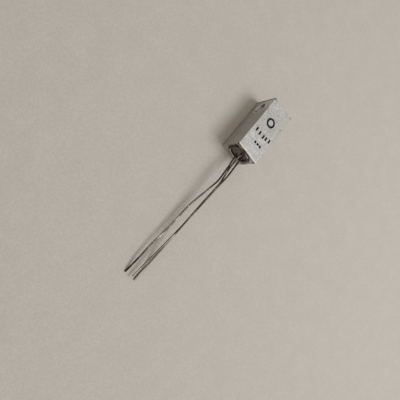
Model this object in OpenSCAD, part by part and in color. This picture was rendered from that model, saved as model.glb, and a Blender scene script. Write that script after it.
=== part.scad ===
// Germanium alloy-junction transistor: a small round metal can with three wire leads,
// pushed into a square aluminium cooling block that is screwed down through a cross hole.
// The block lies on a surface (z = 0) with its length along X. The leads leave towards -X,
// and the screw hole runs along Y. Millimetres. Origin: middle of the block's resting face.

/* [Cooling block] */
// Side of the square bar
block_side = 7.3; // [6.8:0.1:9]
// Length of the bar
block_len = 16.8; // [15:0.1:20]
// Broken edges of the bar
block_bevel = 0.15; // [0.05:0.01:0.2]
// Diameter of the screw hole
hole_d = 3.2; // [2.2:0.1:3.6]
// Middle of the screw hole from the closed end of the bar
hole_from_end = 3.4; // [2.6:0.05:3.8]
// Broken edges of the screw hole
hole_bevel = 0.12; // [0.05:0.01:0.2]

/* [Can] */
// Outside diameter of the can
can_d = 5.9; // [5.8:0.05:6.3]
// Length of the can over its rim
can_len = 9.6; // [9:0.1:10.6]
// Wall of the drawn can
can_wall = 0.25; // [0.18:0.01:0.32]
// Outside radius of the drawn corner at the closed end
can_corner_r = 0.9; // [0.5:0.05:1.4]
// How far the rim is folded in over the header, from the outside of the can
can_lip = 0.54; // [0.4:0.02:0.6]
// How far the rim stands out of the block
can_stand_out = 0.2; // [0.1:0.05:0.8]
// Clearance all round between the can and its bore in the block
can_fit = 0.03; // [0.01:0.01:0.08]

/* [Header] */
// Clearance all round between the header ring and the can
ring_fit = 0.02; // [0.01:0.01:0.04]
// Thickness of the header ring's flange
ring_flange_t = 0.3; // [0.2:0.02:0.4]
// Wall of the header ring's sleeve
ring_wall = 0.25; // [0.2:0.01:0.3]
// How far the header ring shows inside the folded rim
ring_show = 0.16; // [0.15:0.01:0.35]
// Depth of the header ring
ring_len = 1.6; // [1.4:0.05:2]
// Middle of the glass below the outer face of the ring
glass_recess = 0.12; // [0.05:0.01:0.3]
// Height of the glass at its middle, over its edge
glass_crown = 0.12; // [0.06:0.01:0.2]
// Gap drawn where parts are fused, welded or soldered together
seal_gap = 0.01; // [0.005:0.005:0.02]
// Circle that the three pins stand on
pin_circle_d = 2.4; // [2.1:0.05:2.7]
// Turn of the header in the block, from the collector pin straight up
header_turn = -6.4; // [-12:0.1:12]

/* [Leads] */
// Diameter of the lead wire
wire_d = 0.43; // [0.36:0.01:0.5]
// Reach of the leads from the block's face
lead_reach = 40; // [38:0.5:46]
// Straight end of each lead
tip_straight = 4; // [2:0.5:6]
// Straight run of each lead before its first bend, from the block's face
root_straight = 1; // [0.8:0.05:1.4]
// Radius of the gentle bends in the leads
bend_r = 10; // [6:1:12]

/* [Junction] */
// Length of the pins inside the can, from the glass
post_len = 2.6; // [2.4:0.05:3]
// Length of the base tab along the can
tab_len = 2.8; // [2.5:0.05:3]
// Width of the base tab
tab_w = 2.5; // [2.3:0.05:2.7]
// Thickness of the base tab
tab_t = 0.15; // [0.1:0.01:0.2]
// Gap between the glass and the base tab
tab_from_glass = 0.7; // [0.4:0.05:0.8]
// Window in the tab, under the pellet
tab_window_d = 1.2; // [1:0.05:1.3]
// Side of the square germanium pellet
pellet_side = 1.8; // [1.6:0.05:2]
// Thickness of the germanium pellet
pellet_t = 0.12; // [0.08:0.01:0.16]
// Thickness of the solder between the tab and the pellet
solder_t = 0.04; // [0.02:0.01:0.06]
// Diameter of the emitter's indium bead
emitter_bead_d = 0.7; // [0.5:0.05:0.9]
// Diameter of the collector's indium bead
collector_bead_d = 1.1; // [0.9:0.05:1.3]
// Height of the beads
bead_h = 0.22; // [0.15:0.01:0.25]
// Diameter of the fine wires from the beads to the pins
link_d = 0.12; // [0.08:0.01:0.16]
// Radius of the bend in each fine wire
link_bend_r = 0.2; // [0.15:0.01:0.25]

/* [Hidden] */
$fn = 64;

cut = 1; // how far a cutter runs past the face that it opens
ball_over = 0.004; // how much wider than the wire the ball at each of its joints is

lead_face_x = -block_len / 2;
closed_face_x = block_len / 2;
hole_x = closed_face_x - hole_from_end;
axis_z = block_side / 2;
rim_x = lead_face_x - can_stand_out;
bore_depth = can_len - can_stand_out;

can_r = can_d / 2;
lip_r = can_r - can_lip;
ring_r = can_r - can_wall - ring_fit;
ring_bore_r = lip_r - ring_show;
glass_r = ring_bore_r - seal_gap;

// Depths below the rim, along the can's axis
ring_top = can_wall + seal_gap;
glass_mid = ring_top + glass_recess;
glass_edge = glass_mid + glass_crown;
glass_end = ring_top + ring_len;
post_end = glass_end + post_len;
tab_top = glass_end + tab_from_glass;
pellet_mid = tab_top + tab_len / 2;

// Levels of the junction's stack, from the tab's middle plane
tab_high = tab_t / 2;
pellet_low = tab_high + solder_t;
pellet_high = pellet_low + pellet_t;

// Pins: the angle of each round the can's axis, from +Y towards +Z
collector_at = 90 + header_turn;
base_at = 180 + header_turn;
emitter_at = 270 + header_turn;
pin_r = pin_circle_d / 2;
function pin_y(angle) = pin_r * cos(angle);
function pin_z(angle) = axis_z + pin_r * sin(angle);

// Bends of each lead: distance out of the block and sideways place, as shares of the reach,
// and height as a share of its pin's height
emitter_bends = [
    [0.1, -0.0042, 1.287], [0.225, -0.0092, 1.376], [0.4625, 0.0275, 0.93], [0.65, 0.0342, 0.76],
    [0.8, 0.0472, 0.555]];
base_bends = [
    [0.1, -0.0228, 1.201], [0.1875, -0.0225, 1.271], [0.275, -0.0185, 1.159], [0.6, -0.0162, 0.738],
    [0.75, -0.0207, 0.486]];
collector_bends = [
    [0.125, 0.006, 1.006], [0.25, -0.01, 1.023], [0.4, -0.0068, 0.904], [0.6, -0.008, 0.731]];
// Each lead's straight end in the same shares: sideways place and height at its start, then at its tip
emitter_end = [[0.0502, 0.426], [0.0495, 0]];
base_end = [[-0.0288, 0.08], [-0.0272, 0]];
collector_end = [[-0.0033, 0.256], [0.004, 0.17]];

// A lead's corner points, from its inner end to its tip
function lead_points(angle, bends, end) =
    let (y = pin_y(angle), z = pin_z(angle), low_z = wire_d / 2, drop = z - low_z)
    concat(
        [[rim_x + post_end, y, z], [lead_face_x - root_straight, y, z]],
        [for (b = bends) [lead_face_x - b[0] * lead_reach, b[1] * lead_reach, low_z + b[2] * drop]],
        [[lead_face_x - lead_reach + tip_straight, end[0][0] * lead_reach, low_z + end[0][1] * drop],
         [lead_face_x - lead_reach, end[1][0] * lead_reach, low_z + end[1][1] * drop]]);

// Directions before and after corner i, the angle between them, and how far from it a bend starts
function unit(v) = v / norm(v);
function way_in(p, i) = unit(p[i] - p[i - 1]);
function way_out(p, i) = unit(p[i + 1] - p[i]);
function turn_at(p, i) = acos(way_in(p, i) * way_out(p, i));
function setback(p, i, r) = (i == 0 || i == len(p) - 1) ? 0 : r * tan(turn_at(p, i) / 2);

// The roll that points a bend's own X axis to the side that the wire turns to
function roll_at(p, i) =
    let (u = way_in(p, i), v = way_out(p, i), side = unit(v - u * (u * v)),
         b = acos(u.z), c = atan2(u.y, u.x))
    atan2(side * [-sin(c), cos(c), 0], side * [cos(b) * cos(c), cos(b) * sin(c), -sin(b)]);

// Puts its children at a point, with their Z axis along a direction
module facing(at, way) {
    translate(at) rotate([0, acos(way.z), atan2(way.y, way.x)]) children();
}

// Wire of diameter d bent to radius r by an angle, from the origin along +Z towards +X
module elbow(d, r, angle) {
    translate([r, 0, 0]) rotate([90, 0, 0]) mirror([1, 0, 0])
        rotate_extrude(angle = angle) translate([r, 0]) circle(d = d);
}

// Round wire through the corner points p, with each corner bent to radius r.
// A ball in each joint, wider than the wire by a hair, makes it one solid.
module bent_wire(p, d, r) {
    for (i = [0 : len(p) - 2]) {
        start = setback(p, i, r);
        facing(p[i] + way_out(p, i) * start, way_out(p, i))
            cylinder(h = norm(p[i + 1] - p[i]) - start - setback(p, i + 1, r), d = d);
    }
    for (i = [1 : len(p) - 2]) {
        angle = turn_at(p, i);
        facing(p[i] - way_in(p, i) * setback(p, i, r), way_in(p, i)) rotate([0, 0, roll_at(p, i)]) {
            sphere(d = d + ball_over);
            elbow(d, r, angle);
            translate([r * (1 - cos(angle)), 0, r * sin(angle)]) sphere(d = d + ball_over);
        }
    }
}

// Turns a shape drawn round +Z into one round the can's axis, with its z as the depth below the rim
module on_can_axis() {
    translate([rim_x, 0, axis_z]) rotate([0, 90, 0]) children();
}

// The header's own frame: x is the depth below the rim, and the collector's pin stands at +z
module in_header() {
    translate([rim_x, 0, axis_z]) rotate([header_turn, 0, 0]) children();
}

// A rectangle with its corners cut off
module bevelled(a, b) {
    c = block_bevel;
    polygon([
        [-a / 2 + c, -b / 2], [a / 2 - c, -b / 2], [a / 2, -b / 2 + c], [a / 2, b / 2 - c],
        [a / 2 - c, b / 2], [-a / 2 + c, b / 2], [-a / 2, b / 2 - c], [-a / 2, -b / 2 + c]]);
}

// Sawn square bar with every edge broken
module bar() {
    intersection() {
        linear_extrude(block_side, center = true) bevelled(block_len, block_side);
        rotate([90, 0, 0]) linear_extrude(block_side, center = true) bevelled(block_len, block_side);
        rotate([0, 90, 0]) linear_extrude(block_len, center = true) bevelled(block_side, block_side);
    }
}

// Cutter for the screw hole, with a cone at each mouth that breaks its edge
module screw_hole() {
    rotate([90, 0, 0]) {
        cylinder(h = block_side + 2 * cut, d = hole_d, center = true);
        for (side = [0, 180]) rotate([side, 0, 0]) translate([0, 0, block_side / 2 - hole_bevel])
            cylinder(h = 2 * hole_bevel, d1 = hole_d, d2 = hole_d + 4 * hole_bevel);
    }
}

module cooling_block() {
    color([0.74, 0.74, 0.72]) difference() {
        translate([0, 0, axis_z]) bar();
        translate([lead_face_x - cut, 0, axis_z]) rotate([0, 90, 0])
            cylinder(h = bore_depth + cut, r = can_r + can_fit);
        translate([hole_x, 0, axis_z]) screw_hole();
    }
}

// Half section of a flat-bottomed cup with a rounded corner, its bottom at y = 0
module cup_section(r, h, corner) {
    translate([0, corner]) square([r, h - corner]);
    square([r - corner, h]);
    translate([r - corner, corner]) circle(r = corner);
}

// Half section of the can: drawn wall and closed end, and the folded rim with its round nose
module can_section() {
    nose_r = can_wall / 2;
    difference() {
        union() {
            cup_section(can_r, can_len - can_wall, can_corner_r);
            square([can_r - can_wall, can_len]);
            translate([can_r - can_wall, can_len - can_wall]) circle(r = can_wall);
        }
        translate([0, can_wall])
            cup_section(can_r - can_wall, can_len - 2 * can_wall, can_corner_r - can_wall);
        square([lip_r + nose_r, can_len + cut]);
    }
    square([lip_r + nose_r, can_wall]);
    translate([lip_r + nose_r, can_len - nose_r]) circle(r = nose_r);
}

module can() {
    color([0.62, 0.61, 0.58]) translate([rim_x + can_len, 0, axis_z]) rotate([0, -90, 0])
        rotate_extrude() can_section();
}

// Stamped eyelet: its flange lies under the can's folded rim, and its sleeve holds the glass
module header_ring() {
    color([0.5, 0.5, 0.49]) on_can_axis() rotate_extrude() translate([ring_bore_r, ring_top]) {
        square([ring_r - ring_bore_r, ring_flange_t]);
        square([ring_wall, ring_len]);
    }
}

// Glass bead with a crowned outer face, pierced by the three pins
module glass_seal() {
    crown_r = (glass_r * glass_r + glass_crown * glass_crown) / (2 * glass_crown);
    color([0.16, 0.11, 0.09]) difference() {
        on_can_axis() {
            translate([0, 0, glass_edge]) cylinder(h = glass_end - glass_edge, r = glass_r);
            intersection() {
                translate([0, 0, glass_mid + crown_r]) sphere(r = crown_r, $fn = 360);
                cylinder(h = (glass_edge + glass_end) / 2, r = glass_r);
            }
        }
        for (angle = [emitter_at, base_at, collector_at])
            translate([rim_x, pin_y(angle), pin_z(angle)]) rotate([0, 90, 0])
                cylinder(h = glass_end + cut, d = wire_d + 2 * seal_gap);
    }
}

// A tinned wire lead, in one piece from the junction to its tip
module lead(angle, bends, end) {
    color([0.45, 0.43, 0.4]) bent_wire(lead_points(angle, bends, end), wire_d, bend_r);
}

module emitter_lead() { lead(emitter_at, emitter_bends, emitter_end); }
module base_lead() { lead(base_at, base_bends, base_end); }
module collector_lead() { lead(collector_at, collector_bends, collector_end); }

// Nickel tab welded by its edge to the base pin, with a window under the pellet
module base_tab() {
    edge_y = -pin_r + wire_d / 2 + seal_gap;
    color([0.7, 0.68, 0.62]) in_header() difference() {
        translate([tab_top, edge_y, -tab_high]) cube([tab_len, tab_w, tab_t]);
        translate([pellet_mid, 0, -cut / 2]) cylinder(h = cut, d = tab_window_d);
    }
}

// Ring of solder between the tab and the pellet
module base_solder() {
    color([0.66, 0.66, 0.68]) in_header() translate([pellet_mid, 0, tab_high]) difference() {
        cylinder(h = solder_t, d = pellet_side);
        translate([0, 0, -cut / 2]) cylinder(h = cut, d = tab_window_d);
    }
}

module germanium_pellet() {
    color([0.35, 0.35, 0.38]) in_header()
        translate([pellet_mid - pellet_side / 2, -pellet_side / 2, pellet_low])
            cube([pellet_side, pellet_side, pellet_t]);
}

// Bead of indium alloyed to the pellet: a cap of a sphere, on z = 0
module bead(d) {
    ball_r = (d * d / 4 + bead_h * bead_h) / (2 * bead_h);
    intersection() {
        translate([0, 0, bead_h - ball_r]) sphere(r = ball_r);
        cylinder(h = 2 * bead_h, d = 2 * d);
    }
}

module collector_bead() {
    color([0.75, 0.76, 0.78]) in_header() translate([pellet_mid, 0, pellet_high]) bead(collector_bead_d);
}

module emitter_bead() {
    color([0.75, 0.76, 0.78]) in_header() translate([pellet_mid, 0, pellet_low]) mirror([0, 0, 1])
        bead(emitter_bead_d);
}

// Fine wire welded along the inner side of a pin, then bent in to a bead, drawn for a pin at +z
module link(bead_top) {
    weld_z = pin_r - wire_d / 2 - link_d / 2 - seal_gap;
    bent_wire([[post_end, 0, weld_z], [pellet_mid, 0, weld_z], [pellet_mid, 0, bead_top]], link_d, link_bend_r);
}

module collector_wire() {
    color([0.8, 0.8, 0.8]) in_header() link(pellet_high + bead_h + seal_gap);
}

module emitter_wire() {
    color([0.8, 0.8, 0.8]) in_header() mirror([0, 0, 1]) link(bead_h - pellet_low + seal_gap);
}

cooling_block();
can();
header_ring();
glass_seal();
emitter_lead();
base_lead();
collector_lead();
base_tab();
base_solder();
germanium_pellet();
emitter_bead();
collector_bead();
emitter_wire();
collector_wire();
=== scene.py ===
"""Dresses a germanium transistor in its square cooling block, lying on a sheet of paper.

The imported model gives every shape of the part. This script gives each of them its finish,
prints the block's top face, and adds the paper, the light and the camera.
Lengths are in metres in the meshes and in millimetres in the fields, whose names say so.
"""

import logging
import math
from dataclasses import dataclass, field
from enum import Enum
from typing import Any, Mapping, Sequence

import bmesh
import bpy
from mathutils import Euler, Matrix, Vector


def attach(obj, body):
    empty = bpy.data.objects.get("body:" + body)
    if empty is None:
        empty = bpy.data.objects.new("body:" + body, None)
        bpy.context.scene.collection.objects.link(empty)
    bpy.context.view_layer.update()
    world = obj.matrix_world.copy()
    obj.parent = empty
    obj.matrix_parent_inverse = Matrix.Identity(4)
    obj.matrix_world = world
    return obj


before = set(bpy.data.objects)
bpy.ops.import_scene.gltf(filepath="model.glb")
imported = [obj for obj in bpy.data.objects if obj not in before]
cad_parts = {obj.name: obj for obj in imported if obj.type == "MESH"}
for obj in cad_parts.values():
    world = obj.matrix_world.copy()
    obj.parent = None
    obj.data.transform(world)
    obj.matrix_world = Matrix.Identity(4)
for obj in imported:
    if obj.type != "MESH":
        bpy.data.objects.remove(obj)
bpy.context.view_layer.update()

logging.basicConfig(level=logging.INFO, format="%(levelname)s %(message)s")
log = logging.getLogger("transistor")

MM = 0.001
ROOT = "root"
X, Y, Z = 0, 1, 2

Place = tuple[float, float, float]
Socket = bpy.types.NodeSocket


def linear(code: str) -> tuple[float, float, float, float]:
    """Turns an sRGB hex colour into the linear colour that a shader takes.

    Args:
        code: The colour as "#rrggbb".

    Returns:
        Red, green, blue and alpha, from 0 to 1.
    """
    shares = [int(code[i:i + 2], 16) / 255 for i in (1, 3, 5)]
    flat = [s / 12.92 if s <= 0.04045 else ((s + 0.055) / 1.055) ** 2.4 for s in shares]
    return flat[0], flat[1], flat[2], 1.0


def add_node(
    tree: bpy.types.NodeTree,
    kind: str,
    settings: Mapping[str, Any] | None = None,
    links: Mapping[str | int, Socket] | None = None,
    values: Mapping[str | int, Any] | None = None,
) -> bpy.types.Node:
    """Adds one node to a tree.

    Args:
        tree: The tree that gets the node.
        kind: The node's type, such as "ShaderNodeTexNoise".
        settings: The node's own options by name.
        links: The output that feeds each input, by the input's name or number.
        values: The constant on each input, by the input's name or number.

    Returns:
        The new node.
    """
    node = tree.nodes.new(kind)
    for name, value in (settings or {}).items():
        setattr(node, name, value)
    for key, value in (values or {}).items():
        node.inputs[key].default_value = value
    for key, socket in (links or {}).items():
        tree.links.new(socket, node.inputs[key])
    return node


@dataclass(frozen=True)
class Cloud:
    """A soft random pattern, such as a stain, a grain or a film of grease."""

    size_mm: float
    low: float = 0.3  # the level of the noise that gives 0
    high: float = 0.7  # the level of the noise that gives 1
    detail: float = 3.0  # how many finer layers the noise has
    seed: float = 0.0  # which of the many like patterns is drawn
    share: float = 1.0  # how much of its colour shows


@dataclass(frozen=True)
class Patch:
    """A soft round patch about a point of the part."""

    middle_mm: Place
    full_mm: float  # the distance to which it is whole
    gone_mm: float  # the distance at which it has faded out
    share: float = 1.0  # how much of its colour shows


def patches(full_mm: float, gone_mm: float, share: float, *middles_mm: Place) -> tuple[Patch, ...]:
    """Makes like patches about several points."""
    return tuple(Patch(middle, full_mm, gone_mm, share) for middle in middles_mm)


@dataclass(frozen=True)
class Relief:
    """How a pattern raises the surface."""

    depth_mm: float
    strength: float


class Surface:
    """A material in the making, whose patterns are laid out in millimetres on the part.

    It starts as one ground colour. Each pattern is a mask from 0 to 1, and each coat lays one
    more colour over those before it, where its masks let it.
    """

    def __init__(self, name: str, ground: str) -> None:
        """Starts the material.

        Args:
            name: The material's name.
            ground: The colour under all the others, as "#rrggbb".
        """
        self.material = bpy.data.materials.new(name)
        self.material.use_nodes = True
        self.tree = self.material.node_tree
        self.tree.nodes.clear()
        coords = add_node(self.tree, "ShaderNodeTexCoord")
        scaled = add_node(self.tree, "ShaderNodeVectorMath", {"operation": "SCALE"},
                          {0: coords.outputs["Object"]}, {"Scale": 1 / MM})
        self.place: Socket = scaled.outputs["Vector"]
        self.ground = ground
        self.colour: Socket | None = None

    def cloud(self, cloud: Cloud) -> Socket:
        """Draws a soft random pattern.

        Args:
            cloud: The pattern's size and levels.

        Returns:
            The pattern's mask.
        """
        noise = add_node(self.tree, "ShaderNodeTexNoise", {"noise_dimensions": "4D"},
                         {"Vector": self.place},
                         {"W": cloud.seed, "Scale": 1 / cloud.size_mm, "Detail": cloud.detail})
        spread = add_node(self.tree, "ShaderNodeMapRange", {"interpolation_type": "SMOOTHSTEP"},
                          {"Value": noise.outputs["Fac"]},
                          {"From Min": cloud.low, "From Max": cloud.high})
        return spread.outputs["Result"]

    def patch(self, patch: Patch, place: Socket | None = None) -> Socket:
        """Draws a soft round patch.

        Args:
            patch: The patch.
            place: The place that it is measured from, if that isn't the place on the part.

        Returns:
            1 in the patch and 0 away from it.
        """
        distance = add_node(self.tree, "ShaderNodeVectorMath", {"operation": "DISTANCE"},
                            {0: place or self.place}, {1: patch.middle_mm})
        fade = add_node(self.tree, "ShaderNodeMapRange", {"interpolation_type": "SMOOTHSTEP"},
                        {"Value": distance.outputs["Value"]},
                        {"From Min": patch.full_mm, "From Max": patch.gone_mm,
                         "To Min": 1.0, "To Max": 0.0})
        return fade.outputs["Result"]

    def along(self, axis: int, full_mm: float, gone_mm: float) -> Socket:
        """Draws a mask that fades out along one axis of the part.

        Args:
            axis: The axis: X, Y or Z.
            full_mm: The place on the axis to which the mask is whole.
            gone_mm: The place on it at which the mask has faded out.

        Returns:
            1 on the full side and 0 beyond the gone side.
        """
        apart = add_node(self.tree, "ShaderNodeSeparateXYZ", None, {0: self.place})
        fade = add_node(self.tree, "ShaderNodeMapRange", {"interpolation_type": "SMOOTHSTEP"},
                        {"Value": apart.outputs[axis]},
                        {"From Min": full_mm, "From Max": gone_mm, "To Min": 1.0, "To Max": 0.0})
        return fade.outputs["Result"]

    def coat(self, shade: str, share: float, *masks: Socket) -> None:
        """Lays a colour over the colours so far.

        Args:
            shade: The colour, as "#rrggbb".
            share: How much of it shows where every mask is whole.
            masks: The patterns that hold it back, at least one.
        """
        cover = masks[0]
        for mask in masks[1:]:
            cover = add_node(self.tree, "ShaderNodeMath", {"operation": "MULTIPLY"},
                             {0: cover, 1: mask}).outputs[0]
        weighed = add_node(self.tree, "ShaderNodeMath", {"operation": "MULTIPLY"},
                           {0: cover}, {1: share})
        below = {} if self.colour is None else {6: self.colour}
        mix = add_node(self.tree, "ShaderNodeMix", {"data_type": "RGBA"},
                       {0: weighed.outputs[0], **below}, {6: linear(self.ground), 7: linear(shade)})
        self.colour = mix.outputs[2]

    def touch(self, shade: str, spots: Sequence[Patch], *masks: Socket) -> None:
        """Lays a colour in patches.

        Args:
            shade: The colour, as "#rrggbb".
            spots: The patches.
            masks: The patterns that hold all of them back, if any.
        """
        for spot in spots:
            self.coat(shade, spot.share, self.patch(spot), *masks)

    def close(
        self,
        raised: Socket,
        relief: Relief,
        constants: Mapping[str, float],
        uneven: Socket | None = None,
        roughness: tuple[float, float] = (0.5, 0.5),
    ) -> bpy.types.Material:
        """Closes the material with its surface shader.

        Args:
            raised: The pattern that raises the surface.
            relief: How deep and how strong it is.
            constants: The shader's inputs that are the same all over.
            uneven: The pattern that the roughness follows, if it isn't the same all over.
            roughness: The roughness where that pattern is 0, and where it is 1.

        Returns:
            The finished material.
        """
        bump = add_node(self.tree, "ShaderNodeBump", None, {"Height": raised},
                        {"Strength": relief.strength, "Distance": relief.depth_mm * MM})
        links = {"Base Color": self.colour, "Normal": bump.outputs["Normal"]}
        if uneven is not None:
            rough = add_node(self.tree, "ShaderNodeMapRange", None, {"Value": uneven},
                             {"To Min": roughness[0], "To Max": roughness[1]})
            links["Roughness"] = rough.outputs["Result"]
        shader = add_node(self.tree, "ShaderNodeBsdfPrincipled", None, links, constants)
        add_node(self.tree, "ShaderNodeOutputMaterial", None, {"Surface": shader.outputs["BSDF"]})
        return self.material


class Face(Enum):
    """The faces of the bar that its finish follows: their axis, and the way they look along it."""

    LEAD_END = (X, -1)
    CLOSED_END = (X, 1)
    SIDE = (Y, 1)
    FOOT = (Z, -1)
    TOP = (Z, 1)


@dataclass(frozen=True)
class BarShape:
    """The sizes of the cooling block that its finish follows."""

    length_mm: float = 16.8
    side_mm: float = 7.3
    bevel_mm: float = 0.15
    hole_mm: Place = (5.0, 0.0, 3.65)
    hole_r_mm: float = 1.6
    bore_mm: Place = (-8.4, 0.0, 3.65)
    bore_r_mm: float = 2.98

    def under(self, face: Face, depth_mm: float) -> float:
        """Finds the place on a face's axis that lies at a depth under the face.

        Args:
            face: The face.
            depth_mm: The depth under it.

        Returns:
            The place in millimetres.
        """
        axis, way = face.value
        middle = self.side_mm / 2 if axis == Z else 0.0
        half = (self.length_mm if axis == X else self.side_mm) / 2
        return middle + way * (half - depth_mm)


@dataclass(frozen=True)
class PaintedEdgeLight:
    """A band along an edge of the bar, where two of its faces meet, coloured to paint the highlight
    or the shade that falls there.
    """

    faces: tuple[Face, Face]
    bevels: float  # how far it reaches in, in widths of the bar's bevel
    shade: str
    share: float


@dataclass(frozen=True)
class EtchedAluminium:
    """Extruded aluminium bar, sawn off and dulled in an etching bath.

    The bath leaves a fine frost, so the metal reads as a pale, nearly matt grey. The top edge
    at the can carries a painted highlight, and two other edges carry painted shade. The sawn
    end is lighter, partly painted light. The screw hole's wall and mouth are painted light, with
    painted shade and dirt at its ends. Grease has gathered round the can, and painted shade
    fills the gap between the block and the can.
    """

    pale: str = "#c8c6c2"
    dull: str = "#a19e99"
    # Lighter grey: the sawn end's finish, partly painted light there, and a lighter patch on the side
    sawn: str = "#dedad5"
    # Bright drilled metal, which also paints the light on the screw hole's wall
    drilled_and_lit: str = "#e2e4e3"
    painted_edge_highlight: str = "#fbfaf6"
    grime_and_shade: str = "#3a322c"
    soot_and_shade: str = "#0e0b0a"
    rust: str = "#59412f"
    # The real frost is finer than 0.05 mm: it is drawn coarser, so that it shows
    frost: Cloud = Cloud(0.3, detail=2.0, share=0.6)
    frost_relief: Relief = Relief(0.02, 0.35)
    stain: Cloud = Cloud(2.6, 0.35, 0.7, 4.0, seed=3.0, share=0.3)
    smear: Cloud = Cloud(0.8, 0.3, 0.6, seed=8.0)
    roughness: tuple[float, float] = (0.65, 0.78)
    sawn_and_lit_share: float = 0.75
    saw_depths_mm: tuple[float, float] = (0.02, 0.06)  # whole to the first, gone at the second
    side_depths_mm: tuple[float, float] = (0.1, 0.2)
    thumbed: Patch = Patch((1.5, 1.2, 7.3), 1.0, 6.0, 0.35)
    wiped: Patch = Patch((7.6, 3.65, 6.2), 1.2, 4.6, 0.6)
    lit_ring_mm: tuple[float, float] = (0.14, 0.4)  # out from the wall of the screw hole
    painted_edge_light: tuple[PaintedEdgeLight, ...] = (
        # Painted highlight along the top edge at the can
        PaintedEdgeLight((Face.LEAD_END, Face.TOP), 1.0, painted_edge_highlight, 1.0),
        # Painted shade along the far upright edge of the side face
        PaintedEdgeLight((Face.CLOSED_END, Face.SIDE), 3.0, grime_and_shade, 0.55),
        # Painted contact shadow along the foot of the side face
        PaintedEdgeLight((Face.SIDE, Face.FOOT), 1.4, grime_and_shade, 0.35))
    edge_softness: tuple[float, float] = (0.95, 1.7)  # of the reach: whole, and faded out
    film_mm: float = 0.8  # out from the wall of the bore
    film_share: float = 0.5
    # Darker patches on the sawn end, about the can
    darker_end_patches: tuple[Patch, ...] = (
        Patch((-8.4, 4.4, 2.8), 0.8, 3.0, 0.35),
        Patch((-8.4, -3.2, 2.6), 0.6, 1.6, 0.5),
        Patch((-8.4, 2.2, 7.0), 1.2, 3.6, 0.5))
    # Painted shade in the gap between the block and the can, on part of its round only
    gap_shade_mm: tuple[float, float] = (0.08, 0.24)  # out from the wall of the bore
    gap_shade_share: float = 0.9
    gap_shade_end: Patch = Patch((-8.4, 1.5, 4.5), 3.6, 5.2)
    sooted: tuple[Patch, ...] = patches(
        0.2, 0.42, 1.0, (-8.4, 3.1, 5.35), (-8.4, 2.85, 5.5), (-8.4, 2.65, 5.68))
    # Painted shade and dirt at the ends of the screw hole's mouth
    hole_shade_and_dirt: tuple[Patch, ...] = patches(
        0.1, 0.5, 0.8, (6.5, 3.5, 4.25), (6.55, 3.4, 3.8), (6.5, 3.2, 3.2), (4.5, 3.2, 2.2))
    rusted: tuple[Patch, ...] = patches(
        0.14, 0.36, 1.0, (8.3, -3.2, 7.3), (8.35, -3.55, 7.2), (-8.4, -3.2, 6.2),
        (-8.4, -3.45, 6.5), (-8.4, 3.5, 6.74))

    def build(self, bar: BarShape) -> bpy.types.Material:
        """Makes the material.

        Args:
            bar: The sizes of the bar that it covers.

        Returns:
            The material.
        """
        metal = Surface("etched_aluminium", self.pale)
        frost = metal.cloud(self.frost)
        metal.coat(self.dull, self.frost.share, frost)
        metal.coat(self.dull, self.stain.share, metal.cloud(self.stain))
        metal.touch(self.dull, (self.thumbed,))
        side = self._beside(metal, bar, Face.SIDE, self.side_depths_mm)
        metal.touch(self.sawn, (self.wiped,), side)
        saw_cut = self._beside(metal, bar, Face.LEAD_END, self.saw_depths_mm)
        # The sawn end is lighter: partly its own sawn finish, partly painted light
        metal.coat(self.sawn, self.sawn_and_lit_share, saw_cut)
        self._paint_hole_light(metal, bar)
        # Painted highlight and painted shade along edges of the bar
        for edge in self.painted_edge_light:
            reach_mm = edge.bevels * bar.bevel_mm
            depths_mm = (self.edge_softness[0] * reach_mm, self.edge_softness[1] * reach_mm)
            metal.coat(edge.shade, edge.share,
                       *(self._beside(metal, bar, face, depths_mm) for face in edge.faces))
        self._soil_and_shade(metal, bar, saw_cut)
        return metal.close(frost, self.frost_relief, {"Metallic": 1.0}, frost, self.roughness)

    def _beside(
        self,
        metal: Surface,
        bar: BarShape,
        face: Face,
        depths_mm: tuple[float, float],
    ) -> Socket:
        """Draws the band of the bar beside one of its faces.

        Args:
            metal: The material in the making.
            bar: The sizes of the bar.
            face: The face.
            depths_mm: The depths at which the band is still whole, and gone.

        Returns:
            1 beside the face and 0 deeper in.
        """
        return metal.along(face.value[0], *(bar.under(face, depth) for depth in depths_mm))

    def _paint_hole_light(self, metal: Surface, bar: BarShape) -> None:
        """Paints light on the wall of the screw hole and on a ring about its mouth, as bright drilled
        metal.

        Args:
            metal: The material in the making.
            bar: The sizes of the bar.
        """
        # The hole runs along Y, so that only the place along X and Z counts
        level = add_node(metal.tree, "ShaderNodeVectorMath", {"operation": "MULTIPLY"},
                         {0: metal.place}, {1: (1.0, 0.0, 1.0)})
        mouth = Patch(bar.hole_mm, *(bar.hole_r_mm + past for past in self.lit_ring_mm))
        metal.coat(self.drilled_and_lit, mouth.share, metal.patch(mouth, level.outputs["Vector"]))

    def _soil_and_shade(self, metal: Surface, bar: BarShape, saw_cut: Socket) -> None:
        """Lays on the grease and the darker patches round the can, the painted shade in the gap
        between the block and the can, the soot, the painted shade and dirt in the screw hole, and the
        rust.

        Args:
            metal: The material in the making.
            bar: The sizes of the bar.
            saw_cut: 1 on the sawn end and 0 elsewhere.
        """
        film = Patch(bar.bore_mm, bar.bore_r_mm, bar.bore_r_mm + self.film_mm, self.film_share)
        metal.touch(self.grime_and_shade, (film, *self.darker_end_patches), metal.cloud(self.smear), saw_cut)
        gap_shade = Patch(bar.bore_mm, *(bar.bore_r_mm + past for past in self.gap_shade_mm))
        # Painted shade in the gap round the can
        metal.coat(self.soot_and_shade, self.gap_shade_share, metal.patch(gap_shade), metal.patch(self.gap_shade_end))
        metal.touch(self.soot_and_shade, self.sooted)
        metal.touch(self.grime_and_shade, self.hole_shade_and_dirt)
        metal.touch(self.rust, self.rusted)


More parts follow.
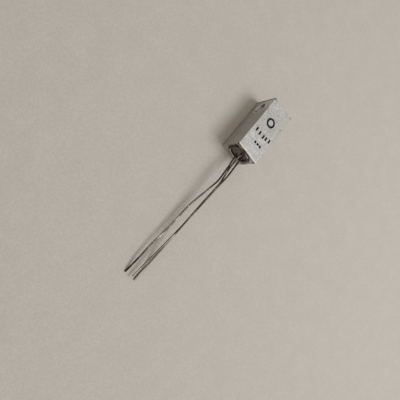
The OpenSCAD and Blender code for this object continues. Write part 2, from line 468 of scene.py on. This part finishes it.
@dataclass(frozen=True)
class SoiledRim:
    """Drawn aluminium folded in over the header, soiled by dark grease.

    The grease films the fold, and painted shade fills the gap along the block. The metal is
    painted bright in two short arcs, as painted highlights.
    """

    # Clean metal, used for the painted highlights on the rim
    clean: str = "#d6d0ca"
    filmed: str = "#857973"
    soot_and_shade: str = "#171211"
    smear: Cloud = Cloud(0.9, 0.3, 0.6, seed=6.0, share=0.5)
    relief: Relief = Relief(0.02, 0.2)
    roughness: tuple[float, float] = (0.24, 0.44)
    # Painted shade in the gap along the block, on the rim's outer edge
    gap_shade_r_mm: tuple[float, float] = (2.96, 2.84)  # whole beyond the first, gone in the second
    gap_shade_share: float = 0.9
    # Painted highlights: clean metal in short arcs where light glints off the fold
    painted_highlights: tuple[Patch, ...] = (
        *patches(0.3, 0.9, 1.0, (-8.6, 2.0, 1.8), (-8.6, 1.2, 1.3), (-8.6, 0.1, 1.1)),
        Patch((-8.6, -0.7, 1.1), 0.267, 0.8),
        *patches(0.1, 0.3, 1.0, (-8.6, -0.2, 6.2), (-8.6, -0.6, 6.2)),
        *patches(0.117, 0.35, 1.0, (-8.6, -1.0, 6.15), (-8.6, -1.4, 6.1)))
    sooted: tuple[Patch, ...] = patches(0.15, 0.45, 1.0, (-8.6, 2.7, 5.4), (-8.6, 2.45, 5.6))

    def build(self, rim_mm: Place) -> bpy.types.Material:
        """Makes the material.

        Args:
            rim_mm: The middle of the rim.

        Returns:
            The material.
        """
        metal = Surface("soiled_aluminium", self.filmed)
        smear = metal.cloud(self.smear)
        metal.coat(self.soot_and_shade, self.smear.share, smear)
        metal.touch(self.clean, self.painted_highlights)
        # Painted shade in the gap, and soot
        metal.touch(self.soot_and_shade, (Patch(rim_mm, *self.gap_shade_r_mm, self.gap_shade_share), *self.sooted))
        return metal.close(smear, self.relief, {"Metallic": 1.0}, smear, self.roughness)


class Tone(Enum):
    """The colours that tinned wire takes with age and use."""

    CLEAN = "#9d9284"
    TARNISHED = "#40352d"
    RUBBED = "#d8cfc2"
    BURNT = "#2a231f"


@dataclass(frozen=True)
class Stretch:
    """A length of wire that has taken on another tone."""

    tone: Tone
    from_mm: float
    to_mm: float
    share: float
    soft_mm: float = 2.0  # over what length each of its ends fades out


@dataclass(frozen=True)
class TinnedWire:
    """Hot-dipped tin on copper wire, tarnished to a dark grey-brown.

    It is painted brighter beside the block, cleaner tin and a painted highlight there, and has
    patches of gloss along its way. Each wire has stretches of its own that are duller, rubbed
    bright, or burnt dark by old flux.
    """

    name: str
    stretches: tuple[Stretch, ...]
    gloss: Cloud = Cloud(2.4, 0.48, 0.7, share=0.9)
    # Cleaner tin near the block, partly a painted highlight
    root: Stretch = Stretch(Tone.CLEAN, -10.0, 8.4, 0.7)
    # The real grain of the tin is finer than 0.05 mm: it is drawn coarser, so that it shows
    grain: Cloud = Cloud(0.3, detail=2.0, seed=5.0)
    relief: Relief = Relief(0.01, 0.1)
    roughness: tuple[float, float] = (0.34, 0.18)

    def build(self) -> bpy.types.Material:
        """Makes the material.

        Returns:
            The material.
        """
        metal = Surface(self.name, Tone.TARNISHED.value)
        gloss = metal.cloud(self.gloss)
        metal.coat(Tone.CLEAN.value, self.gloss.share, gloss)
        for part in (self.root, *self.stretches):
            metal.coat(part.tone.value, part.share,
                       metal.along(X, part.from_mm, part.from_mm - part.soft_mm),
                       metal.along(X, part.to_mm, part.to_mm + part.soft_mm))
        grain = metal.cloud(self.grain)
        return metal.close(grain, self.relief, {"Metallic": 1.0}, gloss, self.roughness)


@dataclass(frozen=True)
class DullMetal:
    """A small metal part whose skin has gone dull: a sheen with cloudy darker patches."""

    name: str
    clean: str
    dulled: str
    roughness: tuple[float, float]
    cloud_mm: float
    cloud_levels: tuple[float, float] = (0.32, 0.68)
    cloud_share: float = 0.7
    grain_per_cloud: float = 0.2
    relief: Relief = Relief(0.01, 0.2)

    def build(self) -> bpy.types.Material:
        """Makes the material.

        Returns:
            The material.
        """
        metal = Surface(self.name, self.clean)
        cloud = metal.cloud(Cloud(self.cloud_mm, *self.cloud_levels))
        grain = metal.cloud(Cloud(self.cloud_mm * self.grain_per_cloud, detail=2.0, seed=5.0))
        metal.coat(self.dulled, self.cloud_share, cloud)
        return metal.close(grain, self.relief, {"Metallic": 1.0}, cloud, self.roughness)


@dataclass(frozen=True)
class SealingGlass:
    """Iron-bearing glass melted into the header ring: nearly black, with a wet gloss."""

    deep: str = "#403632"
    warm: str = "#786a63"
    swirl: Cloud = Cloud(1.4, 0.35, 0.65)
    relief: Relief = Relief(0.05, 0.3)
    roughness: tuple[float, float] = (0.26, 0.46)
    ior: float = 1.52

    def build(self) -> bpy.types.Material:
        """Makes the material.

        Returns:
            The material.
        """
        glass = Surface("sealing_glass", self.deep)
        swirl = glass.cloud(self.swirl)
        glass.coat(self.warm, self.swirl.share, swirl)
        return glass.close(swirl, self.relief, {"IOR": self.ior}, swirl, self.roughness)


@dataclass(frozen=True)
class PrintInk:
    """Pad-printed black ink: matt, and worn through to the metal in small specks."""

    black: str = "#080809"
    worn: str = "#77766f"
    wear: Cloud = Cloud(0.12, 0.64, 0.8, seed=2.0)
    relief: Relief = Relief(0.01, 0.3)
    roughness: float = 0.75
    ior: float = 1.5
    specular: float = 0.25

    def build(self) -> bpy.types.Material:
        """Makes the material.

        Returns:
            The material.
        """
        ink = Surface("print_ink", self.black)
        wear = ink.cloud(self.wear)
        ink.coat(self.worn, self.wear.share, wear)
        return ink.close(wear, self.relief, {"Roughness": self.roughness, "IOR": self.ior,
                                             "Specular IOR Level": self.specular})


@dataclass(frozen=True)
class DrawingPaper:
    """Uncoated drawing paper: warm pale grey, matt, with a faint cloudy pulp and fine fibres."""

    pale: str = "#c0b9b1"
    pulp: str = "#b2aca3"
    cloud: Cloud = Cloud(6.0, 0.35, 0.65, 4.0, share=0.3)
    # Real fibres are about 0.03 mm thick: they are drawn coarser, so that they show
    fibre: Cloud = Cloud(0.35, detail=4.0, seed=4.0, share=0.8)
    relief: Relief = Relief(0.04, 0.45)
    roughness: float = 0.9
    specular: float = 0.15

    def build(self) -> bpy.types.Material:
        """Makes the material.

        Returns:
            The material.
        """
        paper = Surface("drawing_paper", self.pale)
        fibre = paper.cloud(self.fibre)
        paper.coat(self.pulp, self.cloud.share, paper.cloud(self.cloud))
        paper.coat(self.pulp, self.fibre.share, fibre)
        return paper.close(fibre, self.relief, {"Roughness": self.roughness,
                                                "Specular IOR Level": self.specular})


def dress(node: str, material: bpy.types.Material, note: str) -> None:
    """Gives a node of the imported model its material.

    Args:
        node: The node's name.
        material: The material.
        note: What the finish is, for the log.
    """
    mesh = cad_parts[node].data
    mesh.materials.clear()
    mesh.materials.append(material)
    log.info("%s: %s", node, note)


def set_out(name: str, mesh: bmesh.types.BMesh, material: bpy.types.Material) -> bpy.types.Object:
    """Turns a built mesh into an object of the scene.

    Args:
        name: The object's name.
        mesh: The mesh, which is used up.
        material: The material that covers it.

    Returns:
        The object.
    """
    data = bpy.data.meshes.new(name)
    mesh.to_mesh(data)
    mesh.free()
    data.materials.append(material)
    piece = bpy.data.objects.new(name, data)
    bpy.context.scene.collection.objects.link(piece)
    return piece


@dataclass
class CoolingBlock:
    """The square bar that carries the can and takes the heat to the chassis."""

    shape: BarShape = field(default_factory=BarShape)
    finish: EtchedAluminium = field(default_factory=EtchedAluminium)

    def build(self) -> None:
        """Dresses the bar."""
        dress("cooling_block", self.finish.build(self.shape), "etched aluminium")


class Mark(Enum):
    """The plain marks of the print."""

    RING = "ring"
    BAR = "bar"
    DOT = "dot"


@dataclass
class PrintedMarks:
    """Plain ink marks on the block's top face: a ring, a row of bars and a row of dots."""

    top_mm: float = 7.3
    ink_mm: float = 0.015
    marks: tuple[tuple[Mark, float, float], ...] = (
        (Mark.RING, 2.35, 0.25),
        (Mark.BAR, -1.9, 2.2), (Mark.BAR, -2.0, 0.9), (Mark.BAR, -1.95, -0.5),
        (Mark.BAR, -1.75, -1.45), (Mark.BAR, -1.45, -2.6),
        (Mark.DOT, -4.7, 0.35), (Mark.DOT, -4.65, -0.6), (Mark.DOT, -4.6, -1.5))
    ring_d_mm: float = 2.7
    ring_line_mm: float = 0.55
    ring_steps: int = 48
    bar_mm: tuple[float, float] = (1.15, 0.52)
    dot_d_mm: float = 0.74
    dot_steps: int = 20
    finish: PrintInk = field(default_factory=PrintInk)

    def build(self) -> None:
        """Builds the marks as one thin piece and dresses it."""
        mesh = bmesh.new()
        makers = {Mark.RING: self._ring, Mark.BAR: self._bar, Mark.DOT: self._dot}
        for mark, x, y in self.marks:
            makers[mark](mesh, x, y)
        piece = set_out("printed_marks", mesh, self.finish.build())
        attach(piece, ROOT)
        kinds = [mark for mark, _, _ in self.marks]
        log.info("printed_marks: %s", ", ".join(f"{kinds.count(kind)} {kind.value}" for kind in Mark))

    def _slab(self, mesh: bmesh.types.BMesh, outline: Sequence[tuple[float, float]]) -> None:
        """Raises a closed outline off the face by the thickness of the ink.

        Args:
            mesh: The mesh that gets the slab.
            outline: The outline's points in millimetres, turning left.
        """
        low, high = ([mesh.verts.new((x * MM, y * MM, z * MM)) for x, y in outline]
                     for z in (self.top_mm, self.top_mm + self.ink_mm))
        mesh.faces.new(high)
        mesh.faces.new(low[::-1])
        for i in range(len(outline)):
            j = (i + 1) % len(outline)
            mesh.faces.new((low[i], low[j], high[j], high[i]))

    def _ring(self, mesh: bmesh.types.BMesh, x: float, y: float) -> None:
        """Adds a ring.

        Args:
            mesh: The mesh that gets the ring.
            x: Its middle along the block, in millimetres.
            y: Its middle across the block.
        """
        outer, inner = self.ring_d_mm / 2, self.ring_d_mm / 2 - self.ring_line_mm
        low, high = self.top_mm, self.top_mm + self.ink_mm
        section = ((outer, low), (outer, high), (inner, high), (inner, low))
        rows = []
        for i in range(self.ring_steps):
            turn = 2 * math.pi * i / self.ring_steps
            c, s = math.cos(turn), math.sin(turn)
            rows.append([mesh.verts.new(((x + r * c) * MM, (y + r * s) * MM, z * MM))
                         for r, z in section])
        for i, row in enumerate(rows):
            ahead = rows[(i + 1) % len(rows)]
            for k in range(len(section)):
                m = (k + 1) % len(section)
                mesh.faces.new((row[k], ahead[k], ahead[m], row[m]))

    def _bar(self, mesh: bmesh.types.BMesh, x: float, y: float) -> None:
        """Adds a bar with its middle at a point of the face."""
        a, b = self.bar_mm[0] / 2, self.bar_mm[1] / 2
        self._slab(mesh, [(x + u, y + v) for u, v in ((-a, -b), (a, -b), (a, b), (-a, b))])

    def _dot(self, mesh: bmesh.types.BMesh, x: float, y: float) -> None:
        """Adds a dot.

        Args:
            mesh: The mesh that gets the dot.
            x: Its middle along the block, in millimetres.
            y: Its middle across the block.
        """
        r = self.dot_d_mm / 2
        turns = [2 * math.pi * i / self.dot_steps for i in range(self.dot_steps)]
        self._slab(mesh, [(x + r * math.cos(t), y + r * math.sin(t)) for t in turns])


@dataclass
class CanAndHeader:
    """The drawn can, the stamped ring in its mouth, and the glass that carries the pins."""

    can: SoiledRim = field(default_factory=SoiledRim)
    rim_mm: Place = (-8.6, 0.0, 3.65)
    # Tin-plated steel eyelet, browned by the heat of sealing: a dark, patchy sheen
    ring: DullMetal = DullMetal("tinned_steel", "#6f6863", "#332c29", (0.34, 0.54), 0.6)
    glass: SealingGlass = field(default_factory=SealingGlass)

    def build(self) -> None:
        """Dresses the three pieces."""
        dress("can", self.can.build(self.rim_mm), "soiled aluminium")
        dress("header_ring", self.ring.build(), "tinned steel")
        dress("glass_seal", self.glass.build(), "sealing glass")


@dataclass
class Leads:
    """The three wire leads: one that bows out, and two that cross and end side by side."""

    outer: TinnedWire = TinnedWire("tinned_wire", (
        Stretch(Tone.RUBBED, -41.0, -20.0, 0.12),
        Stretch(Tone.BURNT, -50.0, -44.5, 0.5, 1.5)))
    crossed: TinnedWire = TinnedWire("crossed_wire", (
        Stretch(Tone.TARNISHED, -34.0, -17.0, 0.75),
        Stretch(Tone.RUBBED, -49.0, -36.0, 0.28)))

    def build(self) -> None:
        """Dresses the leads."""
        dress("emitter_lead", self.outer.build(), "tinned wire, burnt at its end")
        crossed = self.crossed.build()
        for name in ("base_lead", "collector_lead"):
            dress(name, crossed, "tinned wire, dark half-way and brighter at its end")


@dataclass
class Junction:
    """The working parts that are sealed in the can."""

    # Rolled nickel strip and drawn nickel wire: warm white metal with a satin gloss
    nickel: DullMetal = DullMetal("rolled_nickel", "#c9c3b6", "#a39d90", (0.22, 0.42), 0.5)
    # Lead-tin solder, frozen with a fine grain: a soft grey sheen
    solder: DullMetal = DullMetal("soft_solder", "#b9b9bb", "#8f8f92", (0.27, 0.47), 0.2)
    # Germanium slice, etched: a dark grey mirror with pits
    germanium: DullMetal = DullMetal("etched_germanium", "#85858b", "#6b6b72", (0.12, 0.32), 0.3)
    # Indium bead, melted and frozen: bright and soft, slightly wrinkled
    indium: DullMetal = DullMetal("frozen_indium", "#d3d4d8", "#b2b3b8", (0.17, 0.37), 0.25)

    def build(self) -> None:
        """Dresses the sealed parts."""
        for finish, note, names in (
                (self.nickel, "nickel", ("base_tab", "emitter_wire", "collector_wire")),
                (self.indium, "indium", ("emitter_bead", "collector_bead")),
                (self.solder, "solder", ("base_solder",)),
                (self.germanium, "etched germanium", ("germanium_pellet",))):
            material = finish.build()
            for name in names:
                dress(name, material, note)


@dataclass
class PaperSheet:
    """The sheet that the part lies on."""

    side_mm: float = 2400.0
    finish: DrawingPaper = field(default_factory=DrawingPaper)

    def build(self) -> None:
        """Lays the sheet under the part."""
        half = self.side_mm / 2 * MM
        mesh = bmesh.new()
        mesh.faces.new([mesh.verts.new((x, y, 0.0)) for x, y in
                        ((-half, -half), (half, -half), (half, half), (-half, half))])
        sheet = set_out("paper", mesh, self.finish.build())
        log.info("paper: %.1f m square", self.side_mm * MM)


@dataclass
class Studio:
    """Soft light from one broad lamp beside the block, and a sky that is dimmer near the horizon."""

    aim_mm: Place = (-15.0, 0.0, 0.0)
    lamp_mm: Place = (34.0, -180.0, 349.0)
    lamp_side_mm: float = 185.0
    lamp_share: float = 0.53  # of full white, on a white matt sheet under the lamp alone
    lamp_colour: str = "#f1f7ff"
    sky_share: float = 0.62
    horizon_share: float = 0.2
    sky_from: float = 0.75  # the upward slope from which the sky has its full share
    sky_colour: str = "#fff7ec"

    def build(self) -> None:
        """Hangs the lamp and sets the sky."""
        self._lamp()
        self._sky()
        log.info("light: lamp %.2f, sky %.2f", self.lamp_share, self.sky_share)

    def _lamp(self) -> None:
        """Hangs the lamp."""
        beam = Vector(self.aim_mm) - Vector(self.lamp_mm)
        distance = beam.length * MM
        slope = -beam.normalized().z
        data = bpy.data.lights.new("lamp", "AREA")
        data.shape = "SQUARE"
        data.size = self.lamp_side_mm * MM
        data.color = linear(self.lamp_colour)[:3]
        data.energy = self.lamp_share * math.pi ** 2 * distance ** 2 / slope
        lamp = bpy.data.objects.new("lamp", data)
        lamp.location = Vector(self.lamp_mm) * MM
        lamp.rotation_euler = beam.to_track_quat("-Z", "Y").to_euler()
        bpy.context.scene.collection.objects.link(lamp)

    def _sky(self) -> None:
        """Sets the sky."""
        world = bpy.data.worlds.new("sky")
        bpy.context.scene.world = world
        world.use_nodes = True
        tree = world.node_tree
        tree.nodes.clear()
        way = add_node(tree, "ShaderNodeTexCoord")
        apart = add_node(tree, "ShaderNodeSeparateXYZ", None, {0: way.outputs["Generated"]})
        rise = add_node(tree, "ShaderNodeMapRange", {"interpolation_type": "SMOOTHSTEP"},
                        {"Value": apart.outputs[Z]},
                        {"From Min": 0.0, "From Max": self.sky_from,
                         "To Min": self.horizon_share, "To Max": self.sky_share})
        sky = add_node(tree, "ShaderNodeBackground", None, {"Strength": rise.outputs["Result"]},
                       {"Color": linear(self.sky_colour)})
        add_node(tree, "ShaderNodeOutputWorld", None, {"Surface": sky.outputs["Background"]})


@dataclass
class Viewpoint:
    """The camera: close over the part, looking down past the leads."""

    place_mm: Place = (-62.733, 42.943, 94.582)
    turn_deg: Place = (-1.245, -32.122, -45.844)
    lens_mm: float = 40.5
    sensor_mm: float = 36.0
    near_mm: float = 5.0
    far_mm: float = 10000.0

    def build(self) -> None:
        """Sets up the camera."""
        data = bpy.data.cameras.new("camera")
        data.lens = self.lens_mm
        data.sensor_width = self.sensor_mm
        data.clip_start = self.near_mm * MM
        data.clip_end = self.far_mm * MM
        camera = bpy.data.objects.new("camera", data)
        camera.location = Vector(self.place_mm) * MM
        camera.rotation_euler = Euler([math.radians(angle) for angle in self.turn_deg])
        bpy.context.scene.collection.objects.link(camera)
        bpy.context.scene.camera = camera
        log.info("camera: %.1f mm lens", self.lens_mm)


def main() -> None:
    """Builds the scene, piece by piece."""
    bpy.context.scene.view_settings.view_transform = "Standard"
    for piece in (Viewpoint(), CoolingBlock(), PrintedMarks(), CanAndHeader(), Leads(), Junction(),
                  PaperSheet(), Studio()):
        piece.build()


if __name__ == "__main__":
    main()
